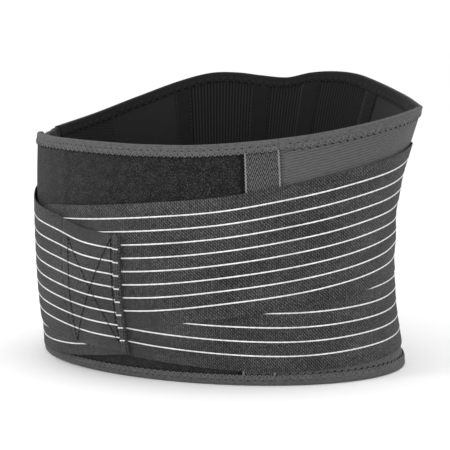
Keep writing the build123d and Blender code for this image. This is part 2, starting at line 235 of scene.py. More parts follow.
def spaced(start, end, step):
    """Angles from start to end, about step mm apart."""
    a, b = arc(start), arc(end)
    count = max(3, int(round(abs(b - a) / step)) + 1)
    return angle_at(np.linspace(a, b, count))


# ---------------------------------------------------------------- materials
def grey(level, blue=0):
    """Linear colour of an sRGB grey from 0 to 255."""
    def linear(v):
        v = v / 255
        return ((v + 0.055) / 1.055) ** 2.4 if v > 0.04045 else v / 12.92
    return (linear(level), linear(level), linear(level + blue), 1)


class Material:
    """A Principled material and short calls for the nodes that feed it.

    Every piece carries its own flat coordinates, an attribute called cloth: mm along the waist, mm across,
    and the place through the thickness. The weaves follow those, so they bend with the piece.
    """

    def __init__(self, name, roughness=0.9, sheen=0.0, specular=0.1):
        self.material = bpy.data.materials.new(name)
        self.material.use_nodes = True
        self.tree = self.material.node_tree
        self.shader = self.tree.nodes["Principled BSDF"]
        self.shader.inputs["Roughness"].default_value = roughness
        self.shader.inputs["Sheen Weight"].default_value = sheen
        self.shader.inputs["Sheen Roughness"].default_value = 0.6
        self.shader.inputs["Specular IOR Level"].default_value = specular

    def link(self, source, target):
        if isinstance(source, (int, float, tuple)):
            target.default_value = source
        else:
            self.tree.links.new(source, target)

    def cloth(self):
        """The place along and across the cloth, and both with the layer as a vector, in mm."""
        attribute = self.tree.nodes.new("ShaderNodeAttribute")
        attribute.attribute_name = "cloth"
        split = self.tree.nodes.new("ShaderNodeSeparateXYZ")
        self.link(attribute.outputs["Vector"], split.inputs[0])
        return split.outputs[0], split.outputs[1], attribute.outputs["Vector"]

    def math(self, operation, a, b=0.0):
        made = self.tree.nodes.new("ShaderNodeMath")
        made.operation = operation
        self.link(a, made.inputs[0])
        self.link(b, made.inputs[1])
        return made.outputs[0]

    def wave(self, coordinate, pitch, phase=0.0):
        """A sine from 0 to 1 with that pitch in mm."""
        turned = self.math("MULTIPLY", coordinate, 2 * math.pi / pitch)
        turned = self.math("ADD", turned, phase)
        return self.math("ADD", self.math("MULTIPLY", self.math("SINE", turned), 0.5), 0.5)

    def noise(self, vector, scale, detail=2.0, roughness=0.5):
        made = self.tree.nodes.new("ShaderNodeTexNoise")
        self.link(vector, made.inputs["Vector"])
        made.inputs["Scale"].default_value = scale
        made.inputs["Detail"].default_value = detail
        made.inputs["Roughness"].default_value = roughness
        return made.outputs["Fac"]

    def stretch(self, vector, x, y, z=1.0):
        made = self.tree.nodes.new("ShaderNodeVectorMath")
        made.operation = "MULTIPLY"
        self.link(vector, made.inputs[0])
        made.inputs[1].default_value = (x, y, z)
        return made.outputs[0]

    def ramp(self, factor, *stops):
        made = self.tree.nodes.new("ShaderNodeValToRGB")
        self.link(factor, made.inputs[0])
        elements = made.color_ramp.elements
        while len(elements) < len(stops):
            elements.new(0.5)
        for element, (position, colour) in zip(elements, stops):
            element.position = position
            element.color = colour
        return made.outputs[0]

    def finish(self, colour, height=None, distance=0.0002, strength=0.6):
        self.link(colour, self.shader.inputs["Base Color"])
        if height is not None:
            bump = self.tree.nodes.new("ShaderNodeBump")
            bump.inputs["Strength"].default_value = strength
            bump.inputs["Distance"].default_value = distance
            self.link(height, bump.inputs["Height"])
            self.link(bump.outputs[0], self.shader.inputs["Normal"])
        return self.material


def webbing_material():
    m = Material("elastic_webbing", roughness=0.85, sheen=0.06)
    along, across, cloth = m.cloth()
    ribs = m.wave(along, 1.55)
    slant = m.wave(m.math("ADD", along, across), 2.3)
    grain = m.noise(m.stretch(cloth, 1.0, 0.8), 1.1, 3.0, 0.75)
    wear = m.noise(m.stretch(cloth, 0.02, 0.05), 1.0, 2.0)
    height = m.math("ADD", m.math("MULTIPLY", slant, 0.3), m.math("MULTIPLY", ribs, 0.2))
    height = m.math("ADD", height, m.math("MULTIPLY", m.math("SUBTRACT", grain, 0.5), 1.6))
    shade = m.math("ADD", height, m.math("MULTIPLY", m.math("SUBTRACT", wear, 0.5), 0.35))
    colour = m.ramp(shade, (0.0, grey(20)), (0.28, grey(52)), (0.55, grey(84)), (0.95, grey(134)))
    return m.finish(colour, height, 0.0004, 0.8)


def thread_material(name, dark, light, roughness=0.7):
    m = Material(name, roughness=roughness, sheen=0.1)
    along, across, cloth = m.cloth()
    twist = m.wave(m.math("ADD", along, m.math("MULTIPLY", across, 1.2)), 1.35)
    fuzz = m.noise(cloth, 1.6, 2.0)
    patchy = m.noise(m.stretch(cloth, 0.05, 0.05), 1.0, 2.0)
    shade = m.math("ADD", m.math("MULTIPLY", twist, 0.5), m.math("MULTIPLY", fuzz, 0.3))
    shade = m.math("ADD", shade, m.math("MULTIPLY", m.math("SUBTRACT", patchy, 0.5), 0.6))
    colour = m.ramp(shade, (0.1, grey(dark)), (0.6, grey(light)))
    return m.finish(colour, shade, 0.0002, 0.5)


def pile_material():
    m = Material("loop_pile", roughness=1.0, sheen=0.08)
    _, _, cloth = m.cloth()
    loops = m.noise(cloth, 1.05, 3.0, 0.65)
    tufts = m.noise(cloth, 0.16, 3.0, 0.6)
    shade = m.math("ADD", m.math("MULTIPLY", loops, 0.8), m.math("MULTIPLY", tufts, 0.2))
    colour = m.ramp(shade, (0.38, grey(4)), (0.5, grey(18)), (0.62, grey(57)))
    return m.finish(colour, shade, 0.0009, 0.8)


def twill_material(name, dark, light, pitch=1.9, lean=-0.22):
    m = Material(name, roughness=0.8, sheen=0.05)
    along, across, cloth = m.cloth()
    wander = m.noise(m.stretch(cloth, 0.02, 0.02), 1.0)
    leaning = m.math("ADD", across, m.math("MULTIPLY", along, lean))
    ribs = m.wave(m.math("ADD", leaning, m.math("MULTIPLY", wander, 3.0)), pitch)
    cross = m.wave(along, 1.1)
    fuzz = m.noise(m.stretch(cloth, 0.25, 1.0), 0.9, 3.0)
    height = m.math("ADD", m.math("MULTIPLY", ribs, 0.35), m.math("MULTIPLY", cross, 0.1))
    height = m.math("ADD", height, m.math("MULTIPLY", fuzz, 0.6))
    colour = m.ramp(height, (0.15, grey(dark)), (0.85, grey(light)))
    return m.finish(colour, height, 0.00025, 0.6)


def herringbone_material(name, dark, light, column=6.2):
    m = Material(name, roughness=0.8, sheen=0.05)
    along, across, cloth = m.cloth()
    fold = m.math("PINGPONG", along, column)
    chevron = m.wave(m.math("ADD", across, m.math("MULTIPLY", fold, 2.5)), 3.6)
    fuzz = m.noise(cloth, 1.0, 3.0)
    grain = m.math("MULTIPLY", m.math("SUBTRACT", fuzz, 0.5), 1.2)
    height = m.math("ADD", m.math("MULTIPLY", chevron, 0.6), m.math("ADD", grain, 0.2))
    colour = m.ramp(height, (0.2, grey(dark)), (0.85, grey(light)))
    return m.finish(colour, height, 0.0003, 0.7)


def tape_material(name, dark, light, pitch=0.9, sheen=0.05, blue=0):
    """Plain weave; blue tints it a little."""
    m = Material(name, roughness=0.82, sheen=sheen)
    along, across, cloth = m.cloth()
    warp = m.wave(along, pitch)
    weft = m.wave(across, pitch * 1.1)
    grid = m.math("MULTIPLY", warp, weft)
    fuzz = m.noise(m.stretch(cloth, 0.4, 0.8), 0.8, 3.0)
    height = m.math("ADD", m.math("MULTIPLY", grid, 0.5), m.math("MULTIPLY", fuzz, 0.5))
    colour = m.ramp(height, (0.15, grey(dark, blue)), (0.75, grey(light, blue)))
    return m.finish(colour, height, 0.0002, 0.5)


def binding_material():
    """Grey woven tape outside; its inner side, towards the wearer, is painted near black: painted shade
    inside the belt.
    """
    m = Material("binding_tape", roughness=0.8, sheen=0.05)
    along, across, cloth = m.cloth()
    split = m.tree.nodes.new("ShaderNodeSeparateXYZ")
    m.link(cloth, split.inputs[0])
    grid = m.math("MULTIPLY", m.wave(along, 1.3), m.wave(across, 1.1))
    fuzz = m.noise(m.stretch(cloth, 0.4, 0.8), 0.8, 3.0)
    height = m.math("ADD", m.math("MULTIPLY", grid, 0.4), m.math("MULTIPLY", fuzz, 0.6))
    outer = m.ramp(height, (0.15, grey(56)), (0.8, grey(100)))
    # the inner side's near-black is painted shade, not another colour of the tape
    inner = m.ramp(height, (0.15, grey(8)), (0.8, grey(30)))
    mix = m.tree.nodes.new("ShaderNodeMix")
    mix.data_type = "RGBA"
    m.link(m.ramp(split.outputs[2], (0.5, (0, 0, 0, 1)), (0.62, (1, 1, 1, 1))), mix.inputs["Factor"])
    m.link(inner, mix.inputs["A"])
    m.link(outer, mix.inputs["B"])
    return m.finish(mix.outputs["Result"], height, 0.0002, 0.5)


def mesh_lining_material(name, dark, light):
    m = Material(name, roughness=0.85, sheen=0.02, specular=0.06)
    along, across, cloth = m.cloth()
    ribs = m.wave(along, 2.4)
    holes = m.math("MULTIPLY", m.wave(along, 1.2), m.wave(across, 1.5))
    fuzz = m.noise(cloth, 0.7, 2.0)
    height = m.math("ADD", m.math("MULTIPLY", ribs, 0.55), m.math("MULTIPLY", holes, 0.3))
    height = m.math("ADD", height, m.math("MULTIPLY", fuzz, 0.2))
    colour = m.ramp(height, (0.15, grey(dark, 1)), (0.9, grey(light, 2)))
    return m.finish(colour, height, 0.0004, 0.7)


def hook_material():
    m = Material("hook_tape", roughness=0.55, specular=0.4)
    along, across, _ = m.cloth()
    hooks = m.math("MULTIPLY", m.wave(along, 1.3), m.wave(across, 1.6))
    colour = m.ramp(hooks, (0.2, grey(12)), (0.7, grey(58)))
    return m.finish(colour, hooks, 0.0006, 0.8)


def steel_material():
    m = Material("spring_steel", roughness=0.35)
    m.shader.inputs["Metallic"].default_value = 1.0
    coordinates = m.tree.nodes.new("ShaderNodeTexCoord")
    brushed = m.noise(m.stretch(coordinates.outputs["Object"], 900.0, 900.0, 12.0), 1.0, 3.0)
    colour = m.ramp(brushed, (0.3, grey(150)), (0.7, grey(200)))
    return m.finish(colour, brushed, 0.00005, 0.3)


MATERIALS = {
    "elastic_webbing": webbing_material(),
    "stripe": thread_material("white_yarn", 160, 246),
    "stitch": thread_material("grey_thread", 60, 104),
    "dark_stitch": thread_material("dark_thread", 10, 34),
    "zigzag": thread_material("zigzag_thread", 46, 108),
    "edge_cord": thread_material("edge_cord", 70, 135),
    "loop_pile": pile_material(),
    "ribbed_twill": twill_material("ribbed_twill", 54, 90),
    "herringbone_tape": herringbone_material("herringbone_tape", 16, 92, column=5.0),
    "binding_tape": binding_material(),
    # near black: painted shade for the needle holes and the casing's gap; on the tab's box stitch, dark
    # thread and painted shade of its grooves
    "dark_thread_and_painted_shade": tape_material("dark_thread_and_painted_shade", 2, 8),
    "lining_tape": tape_material("lining_tape", 9, 24, blue=1),
    "satin_lining": tape_material("satin_lining", 14, 29, pitch=0.6, sheen=0.1, blue=2),
    "side_lining": tape_material("side_lining", 10, 33, pitch=2.2, blue=2),
    "ribbed_mesh": mesh_lining_material("ribbed_mesh", 11, 39),
    "back_mesh": mesh_lining_material("back_mesh", 16, 58),
    "hook_tape": hook_material(),
    "spring_steel": steel_material(),
}


# ---------------------------------------------------------------- mesh making
EDGE_RADIUS = 0.6
THREAD_SIDES = 6


def make_object(name, points, faces, cloth, material):
    """A smooth mesh with its cloth coordinates, in the scene."""
    mesh = bpy.data.meshes.new(name)
    mesh.from_pydata(points.reshape(-1, 3).tolist(), [], faces)
    mesh.polygons.foreach_set("use_smooth", [True] * len(mesh.polygons))
    attribute = mesh.attributes.new("cloth", "FLOAT_VECTOR", "POINT")
    attribute.data.foreach_set("vector", cloth.reshape(-1).astype(np.float32))
    mesh.materials.append(MATERIALS[material])
    made = bpy.data.objects.new(name, mesh)
    bpy.context.scene.collection.objects.link(made)
    return made


def ring_faces(stations, around, flipped=False):
    """Quads between neighbouring loops of a tube and across its two ends, facing outwards."""
    i, j = np.meshgrid(np.arange(stations - 1), np.arange(around), indexing="ij")
    k = (j + 1) % around
    quads = np.stack([i * around + j, (i + 1) * around + j, (i + 1) * around + k, i * around + k], -1)
    faces = quads.reshape(-1, 4).tolist()
    far_end = (stations - 1) * around
    for a in range(around // 2 - 1):
        cap = [a, a + 1, around - 2 - a, around - 1 - a]
        faces.append(cap)
        faces.append([far_end + corner for corner in reversed(cap)])
    return [face[::-1] for face in faces] if flipped else faces


def strip(name, start, end, low, high, inner, outer, material, step=3.0, relief=None):
    """A piece of cloth round the waist: a thin closed shell with rounded edges.

    low, high, inner and outer are heights and offsets, as numbers or as rules of the angle.
    relief(angle, z) moves the outer face.
    """
    angles = spaced(start, end, step)
    z_low, z_high = value(low, angles), value(high, angles)
    d_in, d_out = value(inner, angles), value(outer, angles)
    rows = max(3, int(np.max(z_high - z_low) / step))
    radius = np.minimum((d_out - d_in) / 2, EDGE_RADIUS)
    t = np.linspace(0, 1, rows)[None, :]
    z_face = (z_low + radius)[:, None] + (z_high - z_low - 2 * radius)[:, None] * t
    middle = ((d_in + d_out) / 2)[:, None]
    half = ((d_out - d_in) / 2)[:, None]
    turn = np.radians([30, 90, 150])[None, :]
    z_top = z_high[:, None] - radius[:, None] * (1 - np.sin(turn))
    z_bottom = z_low[:, None] + radius[:, None] * (1 - np.sin(turn))
    z = np.concatenate([z_face, z_top, z_face[:, ::-1], z_bottom[:, ::-1]], 1)
    flat, rounded = half * np.ones((1, rows)), half * np.cos(turn)
    offset = np.concatenate([middle + flat, middle + rounded, middle - flat, middle - rounded], 1)
    angle_grid = angles[:, None] + 0 * z
    if relief is not None:
        bump = relief(angle_grid, z)
        offset = offset + np.where(offset > middle, bump, 0)
    points = place(angle_grid, z, offset)
    cloth = np.stack([arc(angle_grid), z - z_low[:, None], offset], -1)
    return make_object(name, points, ring_faces(len(angles), z.shape[1]), cloth, material)


def inflate(piece, held, pressure, cap, frames=18):
    """Swell a padded piece by cloth simulation, by cap mm at most. held is true where it is sewn down."""
    start = np.empty(len(piece.data.vertices) * 3)
    piece.data.vertices.foreach_get("co", start)
    sewn = piece.vertex_groups.new(name="sewn")
    for index in np.nonzero(held)[0]:
        sewn.add([int(index)], 1.0, "REPLACE")
    cloth = piece.modifiers.new("cloth", "CLOTH")
    cloth.settings.quality = 5
    cloth.settings.mass = 0.2
    cloth.settings.tension_stiffness = cloth.settings.compression_stiffness = 8
    cloth.settings.bending_stiffness = 0.3
    cloth.settings.vertex_group_mass = sewn.name
    cloth.settings.use_pressure = True
    cloth.settings.uniform_pressure_force = pressure
    cloth.settings.shrink_min = -0.012
    cloth.settings.effector_weights.gravity = 0
    cloth.collision_settings.use_collision = False
    cloth.point_cache.frame_start, cloth.point_cache.frame_end = 1, frames
    for frame_number in range(1, frames + 1):
        bpy.context.scene.frame_set(frame_number)
    swollen = piece.evaluated_get(bpy.context.evaluated_depsgraph_get()).to_mesh()
    end = np.empty_like(start)
    swollen.vertices.foreach_get("co", end)
    piece.modifiers.remove(cloth)
    piece.vertex_groups.remove(sewn)
    bpy.context.scene.frame_set(1)
    moved = (end - start).reshape(-1, 3)
    length = np.linalg.norm(moved, axis=1, keepdims=True)
    moved *= np.tanh(length / (cap * MM)) * cap * MM / np.maximum(length, 1e-9)
    piece.data.vertices.foreach_set("co", start + moved.reshape(-1))
    piece.data.update()


def binding(name, start, end, rim, inwards, inner, outer):
    """Tape folded over a rim, its lips pulled into scallops by the zig-zag stitch.

    inwards is -1 under a top rim and 1 above a bottom one.
    """
    angles = spaced(start, end, 1.6)
    z_rim = value(rim, angles)[:, None]
    face, back = value(outer, angles)[:, None], value(inner, angles)[:, None]
    scallop = 0.8 * np.cos(2 * np.pi * arc(angles) / STITCH_PITCH)[:, None]
    turn = np.radians([0, 22, 45, 68, 90])[None, :]
    rise = BINDING_LEG * np.array([[1.0, 0.8, 0.5]])
    puff = 0.18 * np.sin(np.pi * np.array([[0, 0.35, 0.8]]))
    ones = np.ones((len(angles), 1))

    def path(depth):
        """Drops from the rim and offsets of the tape at a depth in it, from one lip over to the other."""
        radius = BINDING_CORNER - depth
        leg = rise + scallop * (rise / BINDING_LEG)
        drop = np.concatenate([leg, ones * (BINDING_CORNER - radius * np.sin(turn))], 1)
        sweep = radius * np.cos(turn)
        outside = np.concatenate([face - depth + puff, face - BINDING_CORNER + sweep], 1)
        inside = np.concatenate([back + depth - puff, back + BINDING_CORNER - sweep], 1)
        return np.concatenate([drop, drop[:, ::-1]], 1), np.concatenate([outside, inside[:, ::-1]], 1)

    face_drop, face_offset = path(0.0)
    under_drop, under_offset = path(BINDING_TAPE)
    drop = np.concatenate([face_drop, under_drop[:, ::-1]], 1)
    z = z_rim + inwards * drop
    offset = np.concatenate([face_offset, under_offset[:, ::-1]], 1)
    angle_grid = angles[:, None] + 0 * z
    points = place(angle_grid, z, offset)
    through = (offset - back) / (face - back)
    cloth = np.stack([arc(angle_grid), drop + offset, through], -1)
    faces = ring_faces(len(angles), z.shape[1], flipped=inwards > 0)
    return make_object(name, points, faces, cloth, "binding_tape")


def tube(path, width, height):
    """Loops of a flattened tube along a path of (angle, z, offset) rows."""
    angle, z, offset = path.T
    centre = place(angle, z, offset)
    ahead = np.gradient(centre, axis=0)
    ahead /= np.maximum(np.linalg.norm(ahead, axis=1, keepdims=True), 1e-9)
    a = np.radians(angle)
    out = np.stack([np.cos(a), np.sin(a), 0 * a], -1)
    side = np.cross(ahead, out)
    side /= np.maximum(np.linalg.norm(side, axis=1, keepdims=True), 1e-9)
    out = np.cross(side, ahead)
    turn = np.linspace(0, 2 * np.pi, THREAD_SIDES, endpoint=False)
    width = np.broadcast_to(width, angle.shape)[:, None, None]
    height = np.broadcast_to(height, angle.shape)[:, None, None]
    loops = centre[:, None, :] + MM * (
        side[:, None, :] * width / 2 * np.cos(turn)[None, :, None]
        + out[:, None, :] * height / 2 * np.sin(turn)[None, :, None]
    )
    run = np.concatenate([[0], np.cumsum(np.linalg.norm(np.diff(centre, axis=0), axis=1))]) / MM
    along, across = np.broadcast_arrays(run[:, None], turn[None, :])
    return loops, np.stack([along, across, 0 * loops[..., 0]], -1)


def threads(name, paths, width, height, material, wobble=0.0):
    """Several threads as one piece. wobble is the share by which their width and height vary."""
    all_points, all_cloth, faces, base = [], [], [], 0
    for path in paths:
        count = len(path)
        phase = np.arange(count) * 2.1
        widths = width * (1 + wobble * np.sin(phase))
        heights = height * (1 + wobble * np.sin(phase + 1))
        loops, cloth = tube(path, widths, heights)
        faces += [[v + base for v in face] for face in ring_faces(count, THREAD_SIDES)]
        base += count * THREAD_SIDES
        all_points.append(loops.reshape(-1, 3))
        all_cloth.append(cloth.reshape(-1, 3))
    return make_object(name, np.concatenate(all_points), faces, np.concatenate(all_cloth), material)


def stitch_row(start, end, length=2.4, gap=0.7, lift=0.25, sink=0.35):
    """Short stitches in a row between two (angle, z, offset) points, sunk at their ends."""
    start, end = np.array(start, float), np.array(end, float)
    reach = np.linalg.norm(place(*end) - place(*start)) / MM
    count = max(1, int(reach / (length + gap)))
    share = length / (length + gap)
    paths = []
    for k in range(count):
        t = (k + np.linspace(0, share, 6)) / count
        path = start + (end - start) * t[:, None]
        path[:, 2] += lift - (lift + sink) * np.abs(np.linspace(-1, 1, 6)) ** 3
        paths.append(path)
    return paths


def zigzag(start, end, rim, inwards, offset, near=4.8, far=8.1):
    """The path of a zig-zag stitch along a binding's lip, near to far mm from the rim."""
    run = np.arange(arc(start) + 1, arc(end) - 1, 0.7)
    phase = (run / STITCH_PITCH) % 1
    swing = 0.5 - 0.5 * np.cos(2 * np.pi * phase)
    angle = angle_at(run)
    z = value(rim, angle) + inwards * (near + (far - near) * swing)
    dip = np.abs(2 * swing - 1) ** 4
    return np.stack([angle, z, value(offset, angle) + 0.22 - 0.35 * dip], -1)


def painted_hole_shades(start, end, rim, inwards, offset, phase, depth, sink):
    """Small dents where the zig-zag pulls the binding's lip down, marked near black: painted shade in the
    dents.
    """
    first = math.ceil((arc(start) + 3) / STITCH_PITCH) + phase
    holes = []
    for run in np.arange(first, (arc(end) - 3) / STITCH_PITCH) * STITCH_PITCH:
        angle = angle_at(run + np.linspace(-0.8, 0.8, 4))
        z = value(rim, angle) + inwards * depth
        holes.append(np.stack([angle, z, value(offset, angle) + sink], -1))
    return holes


# ---------------------------------------------------------------- how the pieces move
ROOT, RIGHT_FRONT, LEFT_FRONT = "back_and_sides", "right_front", "left_front"
RIGHT_STRAP, LEFT_STRAP, TAB = "right_strap", "left_strap", "pull_tab"


def at(angle, z=80.0):
    return tuple(place(angle, z, 0.0))


# for each body, the two bodies that its cloth spans, and where the cloth starts and ends its turn
BENDS = {
    RIGHT_STRAP: (ROOT, RIGHT_STRAP, at(-4), at(-24)),
    LEFT_STRAP: (ROOT, LEFT_STRAP, at(149), at(168)),
    TAB: (LEFT_STRAP, TAB, at(TAB_STITCH), at(250)),
    RIGHT_FRONT: (ROOT, RIGHT_FRONT, at(-40), at(-50)),
    LEFT_FRONT: (ROOT, LEFT_FRONT, at(179), at(190)),
}


def settle(piece, body, slot, *nodes):
    """Attach a finished piece to its body, or, for a body in BENDS, bake its place into the mesh and leave
    it loose; then hide the CAD nodes it stands for.
    """
    if body in BENDS:
        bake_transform(piece)
    else:
        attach(piece, body)
    if nodes:
        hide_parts(*nodes)


def sew(name, paths, width, height, material, body, wobble=0.0):
    """Threads, settled on their body like any piece. They stand for no node and no slot."""
    settle(threads(name, paths, width, height, material, wobble), body, None)


def sheet_of(piece, start, end, low, high, holder):
    """Works out a strip's mean height between start and end, and does nothing with it."""
    angles = np.linspace(start, end, 40)
    height = float(np.mean(value(high, angles) - value(low, angles)))


def seam_tuck(edges, depth=1.2, reach=7.0):
    """The face of a panel dips into its seams."""
    def relief(angle, z):
        nearest = np.min([np.abs(arc(angle) - arc(edge)) for edge in edges], axis=0)
        return -depth * np.exp(-((nearest / reach) ** 2))
    return relief


def wrinkles(amount):
    """Slight folds in a panel's face."""
    def relief(angle, z):
        run = arc(angle)
        folds = np.sin(run / 9 + 1.5 * np.sin(z / 31)) * np.sin(z / 47 + run / 60)
        return amount * (folds + 0.5 * np.sin(run / 4.1 + z / 17))
    return relief


def both(first, second):
    """Two reliefs on one face."""
    return lambda angle, z: first(angle, z) + second(angle, z)


# ---------------------------------------------------------------- padded panels
RIM_GAP = 1.0
CORNER_ROUNDING = 6


def panel_top(angle):
    return belt_top(angle) - RIM_GAP


def below_binding(angle):
    return belt_top(angle) - BINDING_LEG - 1


def rounding(angle):
    """How far the outer front panel's hidden upper corner is rounded down."""
    return CORNER_ROUNDING * ease(angle, -162, -169.5)


def front_top(angle):
    return panel_top(angle) - rounding(angle)


def front_rim(angle):
    return belt_top(angle) - rounding(angle)


# the back panel is sewn through on both sides of each stay
STAYS = (52.4, SPINE_STAY_RIGHT, SPINE_STAY_LEFT, 127.6)
CHANNEL = 3.5
BACK_START, BACK_END = 52, 128
CHANNEL_SIDES = [stay + side * CHANNEL for stay in STAYS for side in (-1, 1)]
STITCH_LINES = [angle for angle in CHANNEL_SIDES if BACK_START < angle < BACK_END]

back = strip("back_shell", BACK_SEAM_RIGHT, BACK_SEAM_LEFT, RIM_GAP, panel_top, *PANEL, "back_mesh",
             step=2.5, relief=seam_tuck((BACK_SEAM_RIGHT, BACK_SEAM_LEFT)))
cloth_at = np.empty(len(back.data.vertices) * 3, np.float32)
back.data.attributes["cloth"].data.foreach_get("vector", cloth_at)
run, height, offset = cloth_at.reshape(-1, 3).T
angle = angle_at(run)
stitch_gap = np.min([np.abs(run - arc(line)) for line in STITCH_LINES], axis=0)
rim_gap = np.minimum(height - 6, belt_top(angle) - 9 - height)
under_anchors = (angle < BACK_START + 0.3) | (angle > BACK_END - 0.3)
sewn_down = (offset < -0.3) | (stitch_gap < 1.3) | (rim_gap < 0) | under_anchors
inflate(back, sewn_down, pressure=3.0, cap=2.4)
settle(back, ROOT, "ribbed_mesh", "back_panel", "back_spacer_core")
paths = []
for line in STITCH_LINES:
    foot, head = (line, 9, 0.1), (line, float(belt_top(line)) - 10, 0.1)
    paths += stitch_row(foot, head, length=3.0, gap=0.9)
sew("back_stitch", paths, 0.8, 0.5, "stitch", ROOT)

for name, start, end, body, node in (
    ("side_right", FRONT_SEAM_RIGHT, BACK_SEAM_RIGHT, RIGHT_FRONT, "side_panel_right"),
    ("side_left", BACK_SEAM_LEFT, FRONT_SEAM_LEFT, LEFT_FRONT, "side_panel_left"),
):
    side = strip(name, start, end, RIM_GAP, panel_top, *PANEL, "ribbed_twill",
                 relief=both(seam_tuck((start, end)), wrinkles(0.25)))
    settle(side, body, "ribbed_twill", node)

pile = strip("pile_front", RIGHT_FRONT_END, CASING_END, RIM_GAP, front_top, *PANEL, "loop_pile",
             relief=both(seam_tuck((CASING_END,), 1.0, 4.0), wrinkles(0.3)))
settle(pile, RIGHT_FRONT, "loop_pile", "right_front_panel")

LINED = [
    # name, start, end, body, material and slot, node
    ("lining_back", BACK_SEAM_RIGHT, BACK_SEAM_LEFT, ROOT, "ribbed_mesh", "back_ribbed_lining"),
    ("lining_hip_right", HIP_SEAM_RIGHT, BACK_SEAM_RIGHT, ROOT, "satin_lining", "hip_lining_right"),
    ("lining_hip_left", BACK_SEAM_LEFT, HIP_SEAM_LEFT, ROOT, "satin_lining", "hip_lining_left"),
    ("lining_side_right", FRONT_SEAM_RIGHT, HIP_SEAM_RIGHT, RIGHT_FRONT, "side_lining",
     "side_lining_right"),
    ("lining_side_left", HIP_SEAM_LEFT, FRONT_SEAM_LEFT, LEFT_FRONT, "side_lining",
     "side_lining_left"),
    ("lining_front_right", RIGHT_FRONT_END, CASING_END, RIGHT_FRONT, "satin_lining",
     "right_front_lining"),
]
for name, start, end, body, material, node in LINED:
    top = front_top if name == "lining_front_right" else panel_top
    lining = strip(name, start, end, RIM_GAP, top, *LINING, material)
    settle(lining, body, material, node)
    sheet_of(lining, start, end, RIM_GAP, panel_top, body)


# the left front panel, the inner layer at the belly
def dropped(offset):
    return plus(inner_drop, offset)


def inner_top(angle):
    return belt_top(angle) - 2


inner = strip("left_front_shell", FRONT_SEAM_LEFT, LEFT_FRONT_END, RIM_GAP, inner_top,
              dropped(-2.6), dropped(0.0), "ribbed_twill", relief=wrinkles(0.15))
settle(inner, LEFT_FRONT, "ribbed_twill", "left_front_panel")
inner_lining = strip("left_front_cloth", FRONT_SEAM_LEFT, LEFT_FRONT_END, RIM_GAP, inner_top,
                     dropped(-3.3), dropped(-2.7), "satin_lining")
settle(inner_lining, LEFT_FRONT, "satin_lining", "left_front_lining")
sheet_of(inner_lining, FRONT_SEAM_LEFT, LEFT_FRONT_END, RIM_GAP, inner_top, LEFT_FRONT)
inner_casing = strip("left_front_channel", 262.5, 271.5, TAPE_FOOT, 158, dropped(-5.2), dropped(-3.4),
                     "lining_tape")
settle(inner_casing, LEFT_FRONT, "lining_tape", "left_front_casing")

# ---------------------------------------------------------------- tapes, casing and hook pads
COVERS = [
    # name, middle, half its width, node
    ("seam_cover_right", BACK_SEAM_RIGHT, 3.1, "seam_tape_right"),
    ("spine_cover_right", SPINE_STAY_RIGHT, 4.0, "spine_tape_right"),
    ("spine_cover_left", SPINE_STAY_LEFT, 4.0, "spine_tape_left"),
    ("seam_cover_left", BACK_SEAM_LEFT, 3.1, "seam_tape_left"),
]
for name, middle, half, node in COVERS:
    start, end = middle - half, middle + half
    tape = strip(name, start, end, TAPE_FOOT, below_binding, *COVER_TAPE, "lining_tape")
    settle(tape, ROOT, "lining_tape", node)
    sheet_of(tape, start, end, TAPE_FOOT, below_binding, ROOT)

for name, start, end, node in (
    ("anchor_right", STRAP_RIGHT_ROOT + 0.1, 52.0, "anchor_tape_right"),
    ("anchor_left", 128.0, STRAP_LEFT_ROOT - 0.1, "anchor_tape_left"),
):
    tape = strip(name, start, end, TAPE_FOOT, below_binding, *ANCHOR_TAPE, "herringbone_tape")
    settle(tape, ROOT, "herringbone_tape", node)


def casing_swell(angle, z):
    """The casing rises over its stay, clear of the bindings."""
    across = (angle - CASING_END) / (FRONT_SEAM_RIGHT - CASING_END)
    clear = ease(z, 8, 15) * ease(belt_top(angle) - z, 8, 15)
    return 1.1 * clear * np.sin(np.pi * np.clip(across, 0, 1)) ** 0.7


casing = strip("casing", CASING_END, FRONT_SEAM_RIGHT, 1.2, panel_top, *CASING, "herringbone_tape",
               step=2.0, relief=casing_swell)
settle(casing, RIGHT_FRONT, "herringbone_tape", "front_casing")

for name, start, end, low, high, layer, body, node in (
    ("closure_hooks", -166, -138, 16, 154, HOOK_PAD, RIGHT_FRONT, "closure_hook_pad"),
    ("right_strap_hooks", -132, -111, 42, 108, (0.3, 1.0), RIGHT_STRAP, "right_strap_hook_pad"),
    ("tab_hooks", 237, 260, 26, 100, (3.4, 4.1), TAB, "left_tab_hook_pad"),
):
    pad = strip(name, start, end, low, high, *layer, "hook_tape")
    settle(pad, body, "hook_tape", node)

# ---------------------------------------------------------------- folded bindings and their zig-zag stitch
RIGHT_RIM_END, LEFT_RIM_END = RIGHT_FRONT_END - 1.8, LEFT_FRONT_END + 1.5
INNER_BINDING = dropped(-4.1), dropped(BINDING[1])
BINDINGS = [
    # name, start, end, its inner and outer face, body, top rim, top node, bottom node
    ("front_right", RIGHT_RIM_END, FRONT_SEAM_RIGHT, BINDING, RIGHT_FRONT,
     front_rim, "right_front_top_binding", "right_front_bottom_binding"),
    ("side_right", FRONT_SEAM_RIGHT, SPINE, BINDING, RIGHT_FRONT,
     belt_top, "top_binding_back", "bottom_binding_back"),
    ("side_left", SPINE, FRONT_SEAM_LEFT, BINDING, LEFT_FRONT,
     belt_top, "top_binding_back", "bottom_binding_back"),
    ("front_left", FRONT_SEAM_LEFT, LEFT_RIM_END, INNER_BINDING, LEFT_FRONT,
     plus(belt_top, -1), "left_front_top_binding", "left_front_bottom_binding"),
]
